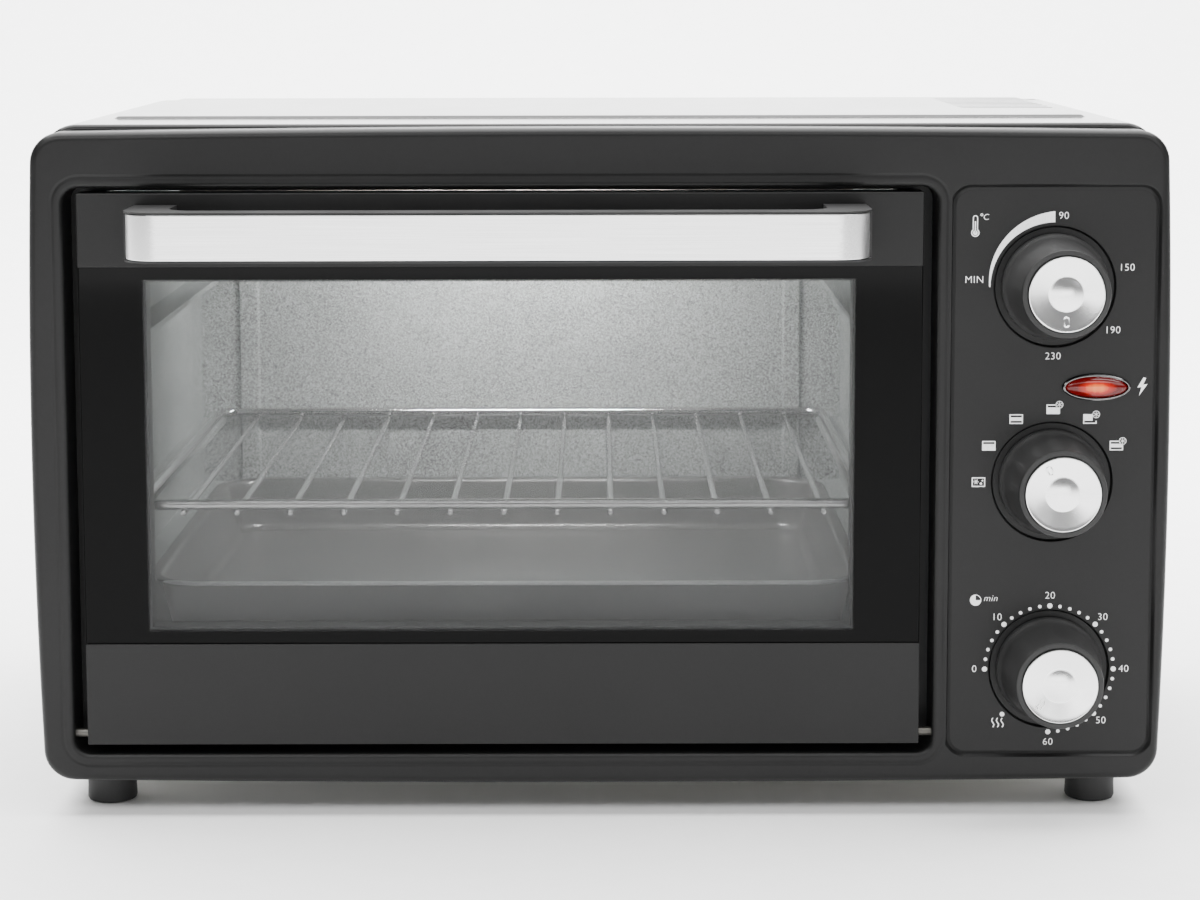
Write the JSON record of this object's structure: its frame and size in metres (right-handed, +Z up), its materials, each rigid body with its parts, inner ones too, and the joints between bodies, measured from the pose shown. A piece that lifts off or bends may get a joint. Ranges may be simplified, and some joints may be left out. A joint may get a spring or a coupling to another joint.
{
  "type": "toaster oven",
  "caption": "Countertop toaster oven: steel body, drop-down double-glazed door with a bar handle, wire rack, baking tray, and a side column of knobs for heat, function and time.",
  "frame": {"origin": "on the ground, in the middle of the footprint from the handle's front to the rear bulge", "axes": "+X to the user's right along the width, +Y from the door to the back, +Z up"},
  "size_m": [0.46, 0.33, 0.2839],
  "materials": {
    "bezel_paint": "satin, fine grain",
    "cover_paint": "gloss black enamel",
    "zinc_steel": "zinc-plated sheet steel",
    "aluminised_steel": "aluminised sheet steel with a fine spangle",
    "brushed_steel": "lengthwise brushed stainless steel",
    "black_plastic": "moulded phenolic, satin",
    "rubber_foot": "black rubber",
    "tinted_glass": "tempered glass with a black printed border",
    "clear_glass": "tempered clear glass",
    "chrome_wire": "bright plated wire",
    "tray_enamel": "dark enamel",
    "element_metal": "oxidised element sheath",
    "ceramic": "unglazed ceramic",
    "red_lens": "clear red polycarbonate",
    "neon_amber": "neon bulb"
  },
  "bodies": {
    "housing": {"front_bezel": "bezel_paint", "outer_cover": "cover_paint", "base_plate": "zinc_steel", "rear_panel": "bezel_paint", "foot_front_left": "rubber_foot", "foot_front_right": "rubber_foot", "foot_rear_left": "rubber_foot", "foot_rear_right": "rubber_foot", "front_frame": "bezel_paint", "cavity_floor": "aluminised_steel", "cavity_top": "aluminised_steel", "cavity_back": "aluminised_steel", "cavity_left": "aluminised_steel", "cavity_right": "aluminised_steel", "heat_shield": "zinc_steel", "heating_element_upper_front": "element_metal", "heating_element_upper_rear": "element_metal", "heating_element_lower_front": "element_metal", "heating_element_lower_rear": "element_metal", "element_holder_upper_left": "ceramic", "element_holder_upper_right": "ceramic", "element_holder_lower_left": "ceramic", "element_holder_lower_right": "ceramic", "fan_motor": "zinc_steel", "thermostat_body": "ceramic", "selector_switch": "black_plastic", "timer_body": "zinc_steel", "timer_bell": "zinc_steel", "indicator_rim": "chrome_wire", "indicator_lens": "red_lens", "neon_lamp": "neon_amber", "terminal_block": "ceramic", "cord_gland": "black_plastic", "hinge_bracket_left": "zinc_steel", "hinge_bracket_right": "zinc_steel", "hinge_pin_left": "zinc_steel", "hinge_pin_right": "zinc_steel"},
    "door": {"door_lower_rail": "bezel_paint", "door_upper_rail": "bezel_paint", "door_outer_glass": "tinted_glass", "door_inner_glass": "clear_glass", "door_inner_liner": "aluminised_steel", "handle_bar": "brushed_steel", "handle_core": "black_plastic", "handle_screw_left": "zinc_steel", "handle_screw_right": "zinc_steel"},
    "thermostat_dial": {"thermostat_knob": "black_plastic", "thermostat_knob_cap": "brushed_steel", "thermostat_shaft": "zinc_steel"},
    "selector_dial": {"selector_knob": "black_plastic", "selector_knob_cap": "brushed_steel", "selector_shaft": "zinc_steel"},
    "timer_dial": {"timer_knob": "black_plastic", "timer_knob_cap": "brushed_steel", "timer_shaft": "zinc_steel"},
    "fan": {"fan_wheel": "zinc_steel", "fan_shaft": "zinc_steel"},
    "rack": {"wire_rack": "chrome_wire"},
    "tray": {"baking_tray": "tray_enamel"}
  },
  "joints": [
    {"name": "door_hinge", "type": "hinge", "parent": "housing", "child": "door", "pos_m": [-0.03985, -0.1192, 0.0344], "axis": [1, 0, 0], "range_deg": [0, 85], "stiffness_Nm_per_rad": 0.2, "springref_deg": -34.38},
    {"name": "thermostat_turn", "type": "hinge", "parent": "housing", "child": "thermostat_dial", "pos_m": [0.18245, -0.14, 0.218], "axis": [0, 1, 0], "range_deg": [-270, 0]},
    {"name": "selector_turn", "type": "hinge", "parent": "housing", "child": "selector_dial", "pos_m": [0.18245, -0.14, 0.1387], "axis": [0, 1, 0], "range_deg": [-60, 90]},
    {"name": "timer_turn", "type": "hinge", "parent": "housing", "child": "timer_dial", "pos_m": [0.18245, -0.14, 0.0615], "axis": [0, 1, 0], "range_deg": [0, 315]},
    {"name": "fan_spin", "type": "hinge", "parent": "housing", "child": "fan", "pos_m": [0.129, 0.02565, 0.157], "axis": [1, 0, 0], "continuous": true},
    {"name": "rack_slide", "type": "slide", "parent": "housing", "child": "rack", "axis": [0, -1, 0], "range_m": [0, 0.127]},
    {"name": "tray_slide", "type": "slide", "parent": "housing", "child": "tray", "axis": [0, -1, 0], "range_m": [0, 0.051]}
  ],
  "couplings": [
    {"joint": "rack_slide", "follows": "door_hinge", "m_per_rad": 0.085},
    {"joint": "tray_slide", "follows": "door_hinge", "m_per_rad": 0.034}
  ]
}
